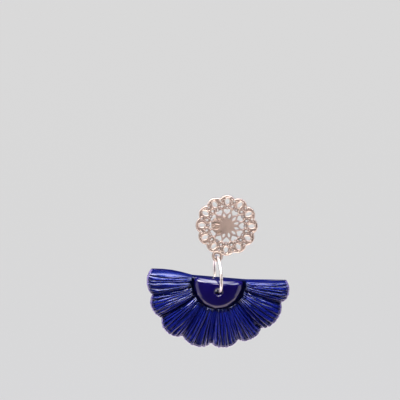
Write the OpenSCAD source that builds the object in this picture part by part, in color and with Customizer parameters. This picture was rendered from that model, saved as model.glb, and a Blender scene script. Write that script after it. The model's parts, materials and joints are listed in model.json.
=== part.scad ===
// A drop earring: a filigree disc on an ear post, a jump ring, and a pleated fan with a half-round hub.
// The origin is where the post leaves its pad. +Y goes into the ear lobe, +X to the right and +Z up.

/* [Filigree disc] */
// Diameter over the scallops' tips
disc_d = 16; // [15:0.5:20]
// Thickness of the stamped sheet
disc_t = 0.7; // [0.5:0.05:1]
// Number of scallops round the rim
scallops = 12; // [10:1:12]
// Radius of one scallop
scallop_r = 2.25; // [2.1:0.05:2.5]
// Clockwise turn of the whole pattern, in degrees
disc_turn = 1.2; // [0:0.1:10]
// Width of the raised collar round each scallop's gap
collar_w = 0.28; // [0.2:0.02:0.34]
// Height of the raised collars
collar_h = 0.12; // [0.06:0.01:0.2]
// Diameter of one raised bead
bead_d = 0.34; // [0.26:0.02:0.4]
// Height of the raised beads
bead_h = 0.14; // [0.06:0.01:0.2]

/* [Hanging eye] */
// Outer diameter of the eye below the disc
eye_d = 2.9; // [2.7:0.1:3.6]
// Room that the wire has in the eye, across
eye_play = 0.6; // [0.3:0.05:0.7]

/* [Ear post] */
// Diameter of the glued pad behind the disc
pad_d = 5; // [4:0.5:8]
// Thickness of the pad
pad_t = 0.5; // [0.3:0.05:1]
// How far the post stands left of the disc's centre
post_off = 1.5; // [0:0.1:2.5]
// Diameter of the post
post_d = 0.8; // [0.7:0.05:1]
// Length of the post behind the pad
post_l = 11; // [8:0.5:12]

/* [Jump ring] */
// Outer diameter of the ring
ring_d = 10; // [9.5:0.1:12]
// Diameter of its round wire
wire_d = 0.8; // [0.6:0.05:1]
// Turn of the ring about the upright, front to the right, in degrees
ring_twist = 10; // [0:0.5:14]
// Lean of the hanging ring, foot to the right, in degrees
ring_lean = 2; // [0:0.1:5]
// Width of the saw cut that closes the ring
saw_cut = 0.06; // [0.03:0.01:0.2]
// Place of the cut, from the ring's foot towards the front, in degrees
cut_at = 63; // [50:1:120]

/* [Pleated fan] */
// Radius of the fan
fan_r = 18.8; // [15:0.1:22]
// Thickness that the petals' sections are shares of
petal_t = 3.4; // [3:0.1:4]
// Thickness of the web behind the hub
web_t = 1.8; // [1.4:0.1:2]
// Rise of the two end petals above the hub's flat top, in degrees
flare = 2.5; // [0:0.5:6]
// Depth of the notches between petals, as a share of their reach
notch = 0.06; // [0.02:0.01:0.12]
// Depth of the scored pleats
score = 0.18; // [0:0.02:0.24]
// Tilt of the hanging fan, right end down, in degrees
fan_roll = 5; // [0:0.5:6]
// Width of the groove round the hub
groove_w = 0.5; // [0.3:0.05:1]

/* [Fan hub] */
// Radius of the half-round hub
hub_r = 6.65; // [5.6:0.05:8]
// Height of the dome above the web
hub_h = 2.4; // [1.8:0.1:2.8]
// How far the hub's centre lies below its flat top
hub_sink = 0.95; // [0.4:0.05:1.6]
// Height that the dome starts from at its rim
hub_rim_h = 0.9; // [0.6:0.05:1.2]
// Rounding of the dome's rim
hub_rim_r = 0.8; // [0.4:0.05:1]
// Rounding of the dome's front edge along its flat top
hub_edge_r = 1; // [0.4:0.05:1.4]
// Depth of the hanging hole below the flat top
bore_drop = 2.9; // [2.5:0.1:3.4]
// How far the hanging hole lies right of the hub's middle
bore_aside = 0.15; // [0:0.05:0.5]
// Bevel at both mouths of the hanging hole
bore_bevel = 0.5; // [0.3:0.05:0.7]
// Room between the wire and what hangs on it
touch = 0.05; // [0.02:0.01:0.08]

/* [Hidden] */
$fn = 64;
past = 1;      // how far a cutter runs past the face it cuts
silver = "#c3aca3";
bright = "#dcdcdc";
clay = "#1c1c86";
gloss = "#140c60";

// Filigree disc, drawn flat as seen from the front
disc_r = disc_d / 2;
pitch = 360 / scallops;
field_r = disc_r - scallop_r;      // circle that the scallops' centres lie on
base_r = field_r + 0.55 * scallop_r;
half_chord = field_r * sin(pitch / 2);
notch_r = max(base_r, field_r * cos(pitch / 2) + sqrt(max(0, scallop_r ^ 2 - half_chord ^ 2)));
foot = 270;                        // one scallop points straight down
gap_shape = 0;
gap_turn = 1;                      // share of the pitch, from the middle of a scallop
gap_at = 2;
gap_len = 3;
gap_wid = 4;
GAPS = [
    // shape, turn, radius of its middle, length outwards, width
    ["oval", 0, 1.113 * field_r, 0.306 * field_r, 0.188 * field_r],
    ["round", 0.5, 0.925 * notch_r, 0.062 * notch_r, 0.062 * notch_r],
    ["round", 0.5, 0.913 * field_r, 0.108 * field_r, 0.108 * field_r],
    ["round", 0, 0.831 * field_r, 0.073 * field_r, 0.073 * field_r],
    ["heart", 0, 0.647 * field_r, 0.261 * field_r, 0.299 * field_r],
    ["oval", 0.5, 0.452 * field_r, 0.261 * field_r, 0.115 * field_r],
];
collared = 0;                      // the row of GAPS that has a raised collar
heart_side = 40;                   // where the heart's straight sides leave its round lobes, in degrees
lobe_share = 0.27;                 // radius of a heart's lobe, as a share of its width
bead_ring = 0.843 * field_r;
bead_rim = 0.4;                    // from a scallop's edge to its beads
rim_bead_step = 36;
rim_bead_reach = 72;

// Hanging eye and the ring in it
weld = 0.2;
eye_at = notch_r + eye_d / 2 - weld;
eye_turn = foot - pitch / 2 - disc_turn;
disc_y = -pad_t - disc_t / 2;
eye = [post_off + eye_at * cos(eye_turn), disc_y, eye_at * sin(eye_turn)];
wire_r = wire_d / 2;
ring_r = ring_d / 2 - wire_r;      // middle of the wire
ring_drop = eye_play / 2 - touch + ring_r;

// Hub: a shallow dome with a rounded rim, turned about the hub's middle
cap_rise = hub_h - hub_rim_h;
cap_r = (hub_r ^ 2 + cap_rise ^ 2) / (2 * cap_rise);
cap_mid = hub_h - cap_r;
rim_mid_r = hub_r - hub_rim_r;
rim_mid_h = cap_mid + sqrt((cap_r - hub_rim_r) ^ 2 - rim_mid_r ^ 2);
cap_end_r = rim_mid_r * cap_r / (cap_r - hub_rim_r);
function dome_h(from_mid) = cap_mid + sqrt(cap_r ^ 2 - from_mid ^ 2);

// Hanging hole: a straight bore that just holds the curved, twisted wire between its two mouths
fan_set = 0.42 * petal_t;          // the fan's back lies this far behind the ring's centre
bore_mouth = web_t + dome_h(norm([bore_aside, bore_drop - hub_sink]));
bore_front = bore_mouth - fan_set;
run = max(bore_front, fan_set) - bore_bevel;
run_aside = run * tan(ring_twist);
run_along = run / cos(ring_twist);
run_low = sqrt(ring_r ^ 2 - run_along ^ 2);
slant = ring_r / run_low;
wire_up = ring_r + wire_r + touch - run_low;
wire_room = touch + wire_r * slant;
bore_r = (run_aside ^ 2 + wire_up ^ 2 - wire_room ^ 2) / (2 * (wire_up - wire_room));
bore_at = ring_r + wire_r + touch - bore_r;

// Petals, from the right end round the foot to the left end
petal_wide = 0;
petal_reach = 1;
PETALS = [
    // width as a share of the turn, reach as a share of the radius
    [20.4, 1.01],
    [28.7, 1.03],
    [22.1, 1.02],
    [23.7, 1.035],
    [24.4, 1.06],
    [23.6, 1.085],
    [21.6, 1.045],
    [22.7, 1.01],
];
along = 0;
floor_t = 1;
crown_t = 2;
SECTIONS = [
    // way from hub to rim, height in the notches, added height in mid petal, as shares of petal_t
    [0, 0.62, 0.1],
    [0.06, 0.66, 0.22],
    [0.2, 0.64, 0.32],
    [0.45, 0.6, 0.36],
    [0.7, 0.54, 0.34],
    [0.86, 0.47, 0.3],
    [0.95, 0.38, 0.24],
    [1, 0.26, 0.14],
];
pleats = 8;                        // scored pleats on one petal
tip_round = 2.4;                   // a higher power makes squarer petal tips
crown_round = 2.2;
score_from = 0.1;                  // the scoring starts this far out
inner_r = hub_r + groove_w;
web_lap = 0.5;                     // the web runs this far in under the petals
cols = 2 * pleats;
last_col = cols * len(PETALS);
last_row = len(SECTIONS) - 1;
turn_sum = wide_before(len(PETALS));
function wide_before(i) = i > 0 ? wide_before(i - 1) + PETALS[i - 1][petal_wide] : 0;
function petal_of(k) = min(floor(k / cols), len(PETALS) - 1);
function aside(k) = 2 * (k / cols - petal_of(k)) - 1;
function turn_at(k) = (wide_before(petal_of(k)) + PETALS[petal_of(k)][petal_wide] * (aside(k) + 1) / 2) / turn_sum;
function tip_of(i) = fan_r * PETALS[max(0, min(i, len(PETALS) - 1))][petal_reach];
function notch_by(i, side) = (tip_of(i) + tip_of(i + side)) / 2 * (1 - notch);
function reach(i, a) = let (low = notch_by(i, sign(a))) low + (tip_of(i) - low) * (1 - abs(a) ^ tip_round);
function inner_reach(b) = hub_sink * sin(b) + sqrt(inner_r ^ 2 - (hub_sink * cos(b)) ^ 2);
function polar(r, b) = [r * cos(b), -r * sin(b)];
function spot(k, t) = (1 - t) * polar(inner_reach(180 * turn_at(k)), 180 * turn_at(k))
    + t * polar(reach(petal_of(k), aside(k)), (180 + 2 * flare) * turn_at(k) - flare);
function pleat(k, t) = abs(aside(k)) == 1 || t < score_from ? 0 : (k % 2 == 0 ? -0.5 : 0.5) * score;
function height(k, row) = petal_t * (row[floor_t] + row[crown_t] * (1 - abs(aside(k)) ^ crown_round))
    + pleat(k, row[along]);
function point(k, t, h) = [spot(k, t)[0], -h, spot(k, t)[1]];

// A pointed oval, where two wide circles cross
module oval(len, wid) {
    arc_r = ((len / 2) ^ 2 + (wid / 2) ^ 2) / wid;
    intersection() {
        translate([arc_r - wid / 2, 0]) circle(r = arc_r);
        translate([wid / 2 - arc_r, 0]) circle(r = arc_r);
    }
}

module heart(len, wid) {
    lobe_r = lobe_share * wid;
    lobe = [wid / 2 - lobe_r, len / 2 - lobe_r];
    shoulder = lobe + lobe_r * [cos(heart_side), -sin(heart_side)];
    for (side = [-1, 1])
        translate([side * lobe[0], lobe[1]]) circle(r = lobe_r);
    polygon([[0, -len / 2], shoulder, [0, lobe[1]], [-shoulder[0], shoulder[1]]]);
}

module gap(row, wider = 0) {
    translate([0, row[gap_at]]) {
        if (row[gap_shape] == "oval") oval(row[gap_len] + 2 * wider, row[gap_wid] + 2 * wider);
        if (row[gap_shape] == "round") circle(d = row[gap_len]);
        if (row[gap_shape] == "heart") heart(row[gap_len], row[gap_wid]);
    }
}

// Copies its children round the disc, one for each scallop, turned by a share of the pitch
module round_disc(turn = 0) {
    for (k = [0 : scallops - 1])
        rotate(foot - 90 + (k + turn) * pitch) children();
}

module disc_outline() {
    circle(r = base_r);
    round_disc() translate([0, field_r]) circle(r = scallop_r);
    rotate(foot - 90 - pitch / 2) translate([0, eye_at]) circle(d = eye_d);
}

module disc_gaps() {
    for (row = GAPS)
        round_disc(row[gap_turn]) gap(row);
    rotate(foot - 90 - pitch / 2) translate([0, eye_at]) circle(d = wire_d + eye_play);
}

module collars() {
    linear_extrude(disc_t + collar_h)
        round_disc() difference() {
            gap(GAPS[collared], collar_w);
            gap(GAPS[collared]);
        }
}

module bead() {
    translate([0, 0, disc_t / 2]) cylinder(d = bead_d, h = disc_t / 2 + bead_h, $fn = 12);
}

module beads() {
    for (turn = [0.25, 0.75])
        round_disc(turn) translate([0, bead_ring]) bead();
    round_disc()
        for (a = [-rim_bead_reach : rim_bead_step : rim_bead_reach])
            translate([0, field_r]) rotate(a) translate([0, scallop_r - bead_rim]) bead();
}

module filigree_disc() {
    color(silver)
        translate([post_off, -pad_t, 0]) rotate([90, 0, 0]) rotate(-disc_turn) {
            linear_extrude(disc_t) difference() {
                disc_outline();
                disc_gaps();
            }
            collars();
            beads();
        }
}

module ear_post() {
    color(bright) rotate([-90, 0, 0]) {
        translate([0, 0, -pad_t]) cylinder(d = pad_d, h = pad_t);
        translate([0, 0, -pad_t / 2]) cylinder(d = post_d, h = pad_t / 2 + post_l - post_d / 2);
        translate([0, 0, post_l - post_d / 2]) sphere(d = post_d);
    }
}

// Places what hangs from the eye, with the ring's lean
module hang(drop) {
    translate(eye) rotate([0, -ring_lean, 0]) translate([0, 0, -drop]) children();
}

module jump_ring() {
    open = saw_cut / ring_r * 180 / PI;
    color(bright)
        hang(ring_drop) rotate([0, 0, ring_twist]) rotate([0, 90, 0]) rotate(open / 2 - cut_at)
            rotate_extrude(angle = 360 - open) translate([ring_r, 0]) circle(d = wire_d);
}

// Places the fan, whose own origin is the middle of its flat top at the back
module place_fan() {
    hang(ring_drop + bore_at) rotate([0, ring_lean + fan_roll, 0])
        translate([-bore_aside, fan_set, bore_drop]) children();
}

module bore() {
    translate([bore_aside, 0, -bore_drop]) rotate([90, 0, 0]) {
        translate([0, 0, -past]) cylinder(r = bore_r, h = bore_mouth + 2 * past);
        translate([0, 0, -past]) cylinder(r1 = bore_r + bore_bevel + past, r2 = bore_r, h = bore_bevel + past);
        translate([0, 0, bore_mouth - bore_bevel])
            cylinder(r1 = bore_r, r2 = bore_r + bore_bevel + past, h = bore_bevel + past);
    }
}

// The part of the fan's plane below its flat top
module below_top(r) {
    translate([-2 * r, -2 * r]) square([4 * r, 2 * r]);
}

module petals() {
    top = function (r, k) r * (last_col + 1) + k;
    inner = (last_row + 1) * (last_col + 1);
    outer = inner + last_col + 1;
    polyhedron(
        points = [
            for (row = SECTIONS, k = [0 : last_col]) point(k, row[along], height(k, row)),
            for (k = [0 : last_col]) point(k, 0, 0),
            for (k = [0 : last_col]) point(k, 1, 0),
        ],
        faces = [
            for (r = [0 : last_row - 1], k = [0 : last_col - 1]) each [
                [top(r, k), top(r + 1, k), top(r + 1, k + 1)],
                [top(r, k), top(r + 1, k + 1), top(r, k + 1)],
            ],
            for (k = [0 : last_col - 1]) each [
                [top(last_row, k + 1), top(last_row, k), outer + k, outer + k + 1],
                [top(0, k), top(0, k + 1), inner + k + 1, inner + k],
                [inner + k, inner + k + 1, outer + k + 1, outer + k],
            ],
            [for (r = [last_row : -1 : 0]) top(r, 0), inner, outer],
            [for (r = [0 : last_row]) top(r, last_col), outer + last_col, inner + last_col],
        ]
    );
}

module pleated_fan() {
    color(clay) place_fan() difference() {
        union() {
            petals();
            rotate([90, 0, 0]) linear_extrude(web_t) intersection() {
                translate([0, -hub_sink]) circle(r = inner_r + web_lap);
                below_top(fan_r);
            }
        }
        bore();
    }
}

module dome_profile() {
    intersection() {
        union() {
            intersection() {
                translate([0, cap_mid]) circle(r = cap_r, $fn = 256);
                square([cap_end_r, hub_h]);
            }
            translate([rim_mid_r, rim_mid_h]) circle(r = hub_rim_r);
            square([hub_r, rim_mid_h]);
        }
        square([hub_r, hub_h]);
    }
}

// A bar across the hub with the flat top's rounded front edge
module top_edge() {
    deep = dome_h(hub_sink);
    rotate([90, 0, 90]) linear_extrude(4 * hub_r, center = true) {
        translate([-deep, -2 * hub_r]) square([deep + past, 2 * hub_r - hub_edge_r]);
        translate([hub_edge_r - deep, -2 * hub_r]) square([deep + past - hub_edge_r, 2 * hub_r]);
        translate([hub_edge_r - deep, -hub_edge_r]) circle(r = hub_edge_r);
    }
}

module fan_hub() {
    color(gloss) place_fan() difference() {
        translate([0, -web_t, 0]) intersection() {
            translate([0, 0, -hub_sink]) rotate([90, 0, 0]) rotate_extrude($fn = 128) dome_profile();
            top_edge();
        }
        bore();
    }
}

filigree_disc();
ear_post();
jump_ring();
pleated_fan();
fan_hub();
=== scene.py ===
import json
import math

import bmesh
import bpy
import numpy as np
from mathutils import Matrix, Vector


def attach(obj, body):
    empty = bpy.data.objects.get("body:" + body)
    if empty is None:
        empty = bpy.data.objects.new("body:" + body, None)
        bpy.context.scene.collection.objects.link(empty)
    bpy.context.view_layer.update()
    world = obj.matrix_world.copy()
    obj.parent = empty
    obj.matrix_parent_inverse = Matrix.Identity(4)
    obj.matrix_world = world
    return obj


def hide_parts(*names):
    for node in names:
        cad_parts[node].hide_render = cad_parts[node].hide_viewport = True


# Fan drop earring: filigree disc on an ear post, jump ring, pleated clay fan with a glossy half-round hub.
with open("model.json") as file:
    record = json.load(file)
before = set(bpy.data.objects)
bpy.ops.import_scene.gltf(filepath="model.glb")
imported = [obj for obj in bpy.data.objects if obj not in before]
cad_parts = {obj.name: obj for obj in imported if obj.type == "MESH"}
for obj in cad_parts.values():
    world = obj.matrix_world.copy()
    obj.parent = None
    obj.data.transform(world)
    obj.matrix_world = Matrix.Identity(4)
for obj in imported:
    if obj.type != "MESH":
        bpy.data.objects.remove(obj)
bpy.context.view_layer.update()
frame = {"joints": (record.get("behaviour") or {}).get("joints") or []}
mm = 0.001
scene = bpy.context.scene
print("stage: frame loaded")


def linear(hexCode):
    # sRGB hex to the linear values that shaders take
    parts = [int(hexCode[i:i + 2], 16) / 255 for i in (1, 3, 5)]
    return [p / 12.92 if p <= 0.04045 else ((p + 0.055) / 1.055) ** 2.4 for p in parts] + [1.0]


def feed(tree, node, feeds):
    # gives inputs their values and links, by name or in order; a node stands for its first output in use
    for key, value in (feeds if isinstance(feeds, dict) else dict(enumerate(feeds))).items():
        if isinstance(value, bpy.types.Node):
            value = next(socket for socket in value.outputs if socket.enabled)
        if isinstance(value, bpy.types.NodeSocket):
            tree.links.new(value, node.inputs[key])
        else:
            node.inputs[key].default_value = value


def addNode(tree, kind, feeds=(), **settings):
    # one node with its settings, its values and the links that feed it
    node = tree.nodes.new(kind)
    for key, value in settings.items():
        setattr(node, key, value)
    feed(tree, node, feeds)
    return node


def addObject(name, data):
    obj = bpy.data.objects.new(name, data)
    scene.collection.objects.link(obj)
    return obj


def newMesh(name, verts, faces, edges=(), values=None):
    # an object from points in metres; each named column of values becomes an attribute
    mesh = bpy.data.meshes.new(name)
    mesh.from_pydata([tuple(v) for v in verts], list(edges), faces)
    for key, column in (values or {}).items():
        mesh.attributes.new(key, "FLOAT", "POINT").data.foreach_set("value", np.asarray(column, np.float32))
    return addObject(name, mesh)


def finishMesh(obj, sharpAngle=38, merge=0.0005 * mm):
    # doubles merged, faces turned outwards and smooth between sharp edges
    bm = bmesh.new()
    bm.from_mesh(obj.data)
    bmesh.ops.remove_doubles(bm, verts=bm.verts, dist=merge)
    bmesh.ops.dissolve_degenerate(bm, edges=bm.edges, dist=merge / 10)
    bmesh.ops.recalc_face_normals(bm, faces=bm.faces)
    for f in bm.faces:
        f.smooth = True
    bm.to_mesh(obj.data)
    bm.free()
    obj.data.set_sharp_from_angle(angle=math.radians(sharpAngle))
    return obj


def newTree(name, sizes):
    # a geometry tree with its geometry sockets and one named input for each size
    tree = bpy.data.node_groups.new(name, "GeometryNodeTree")
    for way in ("INPUT", "OUTPUT"):
        tree.interface.new_socket("Geometry", in_out=way, socket_type="NodeSocketGeometry")
    for label, value in sizes.items():
        kind = {int: "NodeSocketInt", float: "NodeSocketFloat"}.get(type(value), "NodeSocketMaterial")
        tree.interface.new_socket(label, in_out="INPUT", socket_type=kind)
    return tree, tree.nodes.new("NodeGroupInput").outputs


def closeTree(tree, geometry, material):
    # smooth, real and dressed; the export drops instances
    smooth = addNode(tree, "GeometryNodeSetShadeSmooth", [geometry])
    real = addNode(tree, "GeometryNodeRealizeInstances", [smooth])
    dressed = addNode(tree, "GeometryNodeSetMaterial", {"Geometry": real, "Material": material})
    addNode(tree, "NodeGroupOutput", [dressed])


def plainMesh(obj):
    # what the object evaluates to, as a mesh of its own
    bpy.context.view_layer.update()
    return bpy.data.meshes.new_from_object(obj.evaluated_get(bpy.context.evaluated_depsgraph_get()))


def growMesh(obj, tree, sizes):
    # runs the tree on obj and keeps the result as a plain mesh
    modifier = obj.modifiers.new("grow", "NODES")
    modifier.node_group = tree
    for item in tree.interface.items_tree:
        if item.name in sizes:
            modifier[item.identifier] = sizes[item.name]
    grown = plainMesh(obj)
    obj.modifiers.clear()
    obj.data = grown
    grown.name = obj.name


def newMaterial(name):
    # a material with its tree, its shader and the place on the piece that its patterns read
    material = bpy.data.materials.new(name)
    material.use_nodes = True
    tree = material.node_tree
    place = addNode(tree, "ShaderNodeTexCoord").outputs["Object"]
    return material, tree, tree.nodes["Principled BSDF"], place


def coatClay(tree, shader, v):
    # the clay's own gloss and the clear coat over it, each on the shader's own socket
    feed(tree, shader, {
        "Roughness": v["rough"], "IOR": v["ior"], "Specular IOR Level": v["ownGloss"],
        "Specular Tint": linear(v["sheen"]), "Coat Weight": v["coat"], "Coat Roughness": v["coatRough"]})


# Polymer clay, scored with a needle and sealed with clear gloss: saturated blue, hard narrow highlights
strandedClay = {
    # rim is the colour of a painted reflection, a pale line along each petal's edge
    "dark": "#010112", "mid": "#03053a", "bright": "#0e1564", "rim": "#7468a0",
    # what makes the tone: painted shade, lighter on the strands' crests and darker in their grooves, a mottling,
    # and each strand's own level
    "ridgeShadeShare": 0.9, "mottleShare": 0.5, "toneShift": -0.3, "levelShare": 0.25,
    "mottleMm": 4, "grainMm": 0.5, "grainStrength": 0.15, "grainDeepMm": 0.04,
    "rough": 0.36, "ior": 1.5, "ownGloss": 0.6, "sheen": "#5078ff", "coat": 0.65, "coatRough": 0.12,
}


def makeStrandedClay(v):
    material, tree, shader, place = newMaterial("scored polymer clay")
    ridge, rim, level = [addNode(tree, "ShaderNodeAttribute", attribute_name=name).outputs["Fac"]
                         for name in ("ridge", "rim", "level")]
    mottle = addNode(tree, "ShaderNodeTexNoise", {
        "Vector": place, "Scale": 1 / (v["mottleMm"] * mm), "Detail": 3.0})
    # painted shade: the strands' crests are painted lighter and their grooves darker, from the stored ridge
    # pattern
    crest = addNode(tree, "ShaderNodeMath", [ridge, ridge], operation="MULTIPLY")
    tone = addNode(tree, "ShaderNodeMath", [
        mottle, v["mottleShare"], v["toneShift"]], operation="MULTIPLY_ADD")
    tone = addNode(tree, "ShaderNodeMath", [crest, v["ridgeShadeShare"], tone], operation="MULTIPLY_ADD")
    tone = addNode(tree, "ShaderNodeMath", [level, v["levelShare"], tone], operation="MULTIPLY_ADD")
    ramp = addNode(tree, "ShaderNodeValToRGB", {"Fac": tone})
    stops = ramp.color_ramp.elements
    stops[0].color = linear(v["dark"])
    stops[1].color = linear(v["bright"])
    stops.new(0.5).color = linear(v["mid"])
    # painted reflection: the pale rim colour laid along each petal's edge
    color = addNode(tree, "ShaderNodeMix", {
        "Factor": rim, "A": ramp, "B": linear(v["rim"])}, data_type="RGBA")
    grain = addNode(tree, "ShaderNodeTexNoise", {
        "Vector": place, "Scale": 1 / (v["grainMm"] * mm), "Detail": 4.0})
    bump = addNode(tree, "ShaderNodeBump", {
        "Height": grain, "Strength": v["grainStrength"], "Distance": v["grainDeepMm"] * mm})
    feed(tree, shader, {"Base Color": color, "Normal": bump})
    coatClay(tree, shader, v)
    return material


# The same clay left smooth under a thick coat of gloss: almost black blue with mirror-like reflections
smoothClay = {
    "deep": "#080334", "bright": "#0e0748", "cloudMm": 3,
    "waveMm": 2.2, "waveStrength": 0.12, "waveDeepMm": 0.08,
    "rough": 0.5, "ior": 1.5, "ownGloss": 0.15, "sheen": "#5a66ff", "coat": 1.0, "coatRough": 0.08,
}


def makeSmoothClay(v):
    material, tree, shader, place = newMaterial("glossed polymer clay")
    cloud = addNode(tree, "ShaderNodeTexNoise", {
        "Vector": place, "Scale": 1 / (v["cloudMm"] * mm), "Detail": 2.0})
    color = addNode(tree, "ShaderNodeMix", {
        "Factor": cloud, "A": linear(v["deep"]), "B": linear(v["bright"])}, data_type="RGBA")
    wave = addNode(tree, "ShaderNodeTexNoise", {
        "Vector": place, "Scale": 1 / (v["waveMm"] * mm), "Detail": 1.0})
    bump = addNode(tree, "ShaderNodeBump", {
        "Height": wave, "Strength": v["waveStrength"], "Distance": v["waveDeepMm"] * mm})
    feed(tree, shader, {"Base Color": color, "Coat Normal": bump})
    coatClay(tree, shader, v)
    return material


# Stamped brass under silver plating: satin, with painted shade darkening its corners and recesses, and a warm
# tint painted as the reflection of warm surroundings
satinPlating = {
    "cornerShadeMm": 0.6, "cornerPower": 2.0, "cloudMm": 1.6, "cloudShare": 0.8, "cloudShift": 0.55,
    "speckMm": 0.35, "speckStrength": 0.35, "speckDeepMm": 0.05, "roughLow": 0.38, "roughVary": 0.25,
}
warmReflectionSilver = {
    # its warm tint is painted, standing in for the reflection of warm surroundings
    **satinPlating, "pale": "#cab7ae", "dull": "#75655f",
    # fine granulation on the front, outside the plain middle
    # the grain colour is a painted highlight on each grain; the dark colour after it is painted shade on the
    # ground between grains
    "grain": "#f4e8e0", "groundShade": "#5c4b45", "groundShadeShare": 0.3,
    "grainMm": 0.55, "grainUneven": 0.5, "grainTop": 0.12, "grainFoot": 0.45, "grainStrength": 0.7,
    "grainDeepMm": 0.12, "grainFrom": 4.2, "grainFull": 4.6, "middle": (1.5, 0, 0),
    "backFrom": -0.8, "frontFrom": -1.1,
}
# paler copies of the plating: on the raised work as a painted highlight, and on the pad, plain and matt, painted
# paler still as painted light against the shade behind the disc
raisedHighlightSilver = {**satinPlating, "pale": "#dacbc2", "dull": "#93817a"}
# the pad is painted nearly as pale in its corners as elsewhere, lifting the shade behind the disc
shadeLiftedSilver = {**satinPlating, "pale": "#f0e4dc", "dull": "#dccec4", "speckMm": 0.6}


def addGrains(tree, v, place, color, bump):
    # small round grains struck into the plate's front, proud, from a ring outwards; each grain is painted paler
    # as a painted highlight, and the ground between them darker as painted shade
    away = addNode(tree, "ShaderNodeVectorMath", [place, Vector(v["middle"]) * mm], operation="SUBTRACT")
    flat = addNode(tree, "ShaderNodeVectorMath", [away, (1, 0, 1)], operation="MULTIPLY")
    reach = addNode(tree, "ShaderNodeVectorMath", [flat], operation="LENGTH")
    outside = addNode(tree, "ShaderNodeMapRange", {
        "Value": reach, "From Min": v["grainFrom"] * mm, "From Max": v["grainFull"] * mm})
    depth = addNode(tree, "ShaderNodeSeparateXYZ", [place]).outputs["Y"]
    front = addNode(tree, "ShaderNodeMapRange", {
        "Value": depth, "From Min": v["backFrom"] * mm, "From Max": v["frontFrom"] * mm})
    field = addNode(tree, "ShaderNodeMath", [outside, front], operation="MULTIPLY")
    cell = addNode(tree, "ShaderNodeTexVoronoi", {
        "Vector": place, "Scale": 1 / (v["grainMm"] * mm), "Randomness": v["grainUneven"]})
    top = addNode(tree, "ShaderNodeMapRange", {
        "Value": cell, "From Min": v["grainTop"], "From Max": v["grainFoot"], "To Min": 1.0, "To Max": 0.0})
    grain = addNode(tree, "ShaderNodeMath", [top, field], operation="MULTIPLY")
    # painted shade on the ground between grains, then a painted highlight on each grain
    ground = addNode(tree, "ShaderNodeMath", [field, v["groundShadeShare"]], operation="MULTIPLY")
    for share, tint in ((ground, "groundShade"), (grain, "grain")):
        color = addNode(tree, "ShaderNodeMix", {
            "Factor": share, "A": color, "B": linear(v[tint])}, data_type="RGBA")
    proud = addNode(tree, "ShaderNodeBump", {
        "Height": grain, "Strength": v["grainStrength"], "Distance": v["grainDeepMm"] * mm, "Normal": bump})
    return color, proud


def makeSatinPlating(name, v):
    material, tree, shader, place = newMaterial(name)
    cloud = addNode(tree, "ShaderNodeTexNoise", {
        "Vector": place, "Scale": 1 / (v["cloudMm"] * mm), "Detail": 4.0})
    cloud = addNode(tree, "ShaderNodeMath", [
        cloud, v["cloudShare"], v["cloudShift"]], operation="MULTIPLY_ADD")
    # painted shade: the plating is darkened where ambient occlusion finds corners and recesses, and clouded at
    # random
    openness = addNode(tree, "ShaderNodeAmbientOcclusion", {"Distance": v["cornerShadeMm"] * mm}, samples=8)
    cornerShade = addNode(tree, "ShaderNodeMath", [openness.outputs["AO"], v["cornerPower"]], operation="POWER")
    shadeAndCloud = addNode(tree, "ShaderNodeMath", [cornerShade, cloud], operation="MULTIPLY")
    color = addNode(tree, "ShaderNodeMix", {
        "Factor": shadeAndCloud, "A": linear(v["dull"]), "B": linear(v["pale"])}, data_type="RGBA")
    speck = addNode(tree, "ShaderNodeTexNoise", {
        "Vector": place, "Scale": 1 / (v["speckMm"] * mm), "Detail": 3.0})
    rough = addNode(tree, "ShaderNodeMath", [speck, v["roughVary"], v["roughLow"]], operation="MULTIPLY_ADD")
    bump = addNode(tree, "ShaderNodeBump", {
        "Height": speck, "Strength": v["speckStrength"], "Distance": v["speckDeepMm"] * mm})
    if "grainMm" in v:
        color, bump = addGrains(tree, v, place, color, bump)
    feed(tree, shader, {"Base Color": color, "Normal": bump, "Roughness": rough, "Metallic": 1.0})
    return material


# Drawn wire with bright silver plating: pale and shiny, a little clouded
brightSilver = {"pale": "#f2eee8", "dull": "#dcd6d0", "cloudMm": 0.9, "roughLow": 0.36, "roughVary": 0.12}


def makeBrightSilver(v):
    material, tree, shader, place = newMaterial("bright silver plating")
    cloud = addNode(tree, "ShaderNodeTexNoise", {
        "Vector": place, "Scale": 1 / (v["cloudMm"] * mm), "Detail": 4.0})
    color = addNode(tree, "ShaderNodeMix", {
        "Factor": cloud, "A": linear(v["dull"]), "B": linear(v["pale"])}, data_type="RGBA")
    rough = addNode(tree, "ShaderNodeMath", [cloud, v["roughVary"], v["roughLow"]], operation="MULTIPLY_ADD")
    feed(tree, shader, {"Base Color": color, "Roughness": rough, "Metallic": 1.0})
    return material


clayMaterial = makeStrandedClay(strandedClay)
hubMaterial = makeSmoothClay(smoothClay)
discMaterial = makeSatinPlating("silver plating with painted warm reflection", warmReflectionSilver)
raisedMaterial = makeSatinPlating("silver plating with painted highlight", raisedHighlightSilver)
padMaterial = makeSatinPlating("silver plating painted paler against shade", shadeLiftedSilver)
wireMaterial = makeBrightSilver(brightSilver)
print("stage: materials made")

# Where the frame hangs things, in millimetres
joints = {j["name"]: j for j in frame["joints"]}
eyeMiddle = Vector(joints["ring_sway"]["pos_m"]) / mm
ringMiddle = Vector(joints["fan_swing"]["pos_m"]) / mm
ringAxis = Vector(joints["fan_swing"]["axis"]).normalized()
hangDown = (ringMiddle - eyeMiddle).normalized()


def loopFaces(loops, around, first=0):
    # faces between neighbouring loops of points, numbered from the first one's first point
    return [(first + s * around + i, first + s * around + (i + 1) % around,
             first + (s + 1) * around + (i + 1) % around, first + (s + 1) * around + i)
            for s in range(loops - 1) for i in range(around)]


def cappedTube(name, verts, around):
    # loops of points made a closed piece, with one face over either end
    faces = loopFaces(len(verts) // around, around)
    faces += [tuple(range(around)), tuple(range(len(verts) - around, len(verts)))]
    return finishMesh(newMesh(name, verts, faces))


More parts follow.
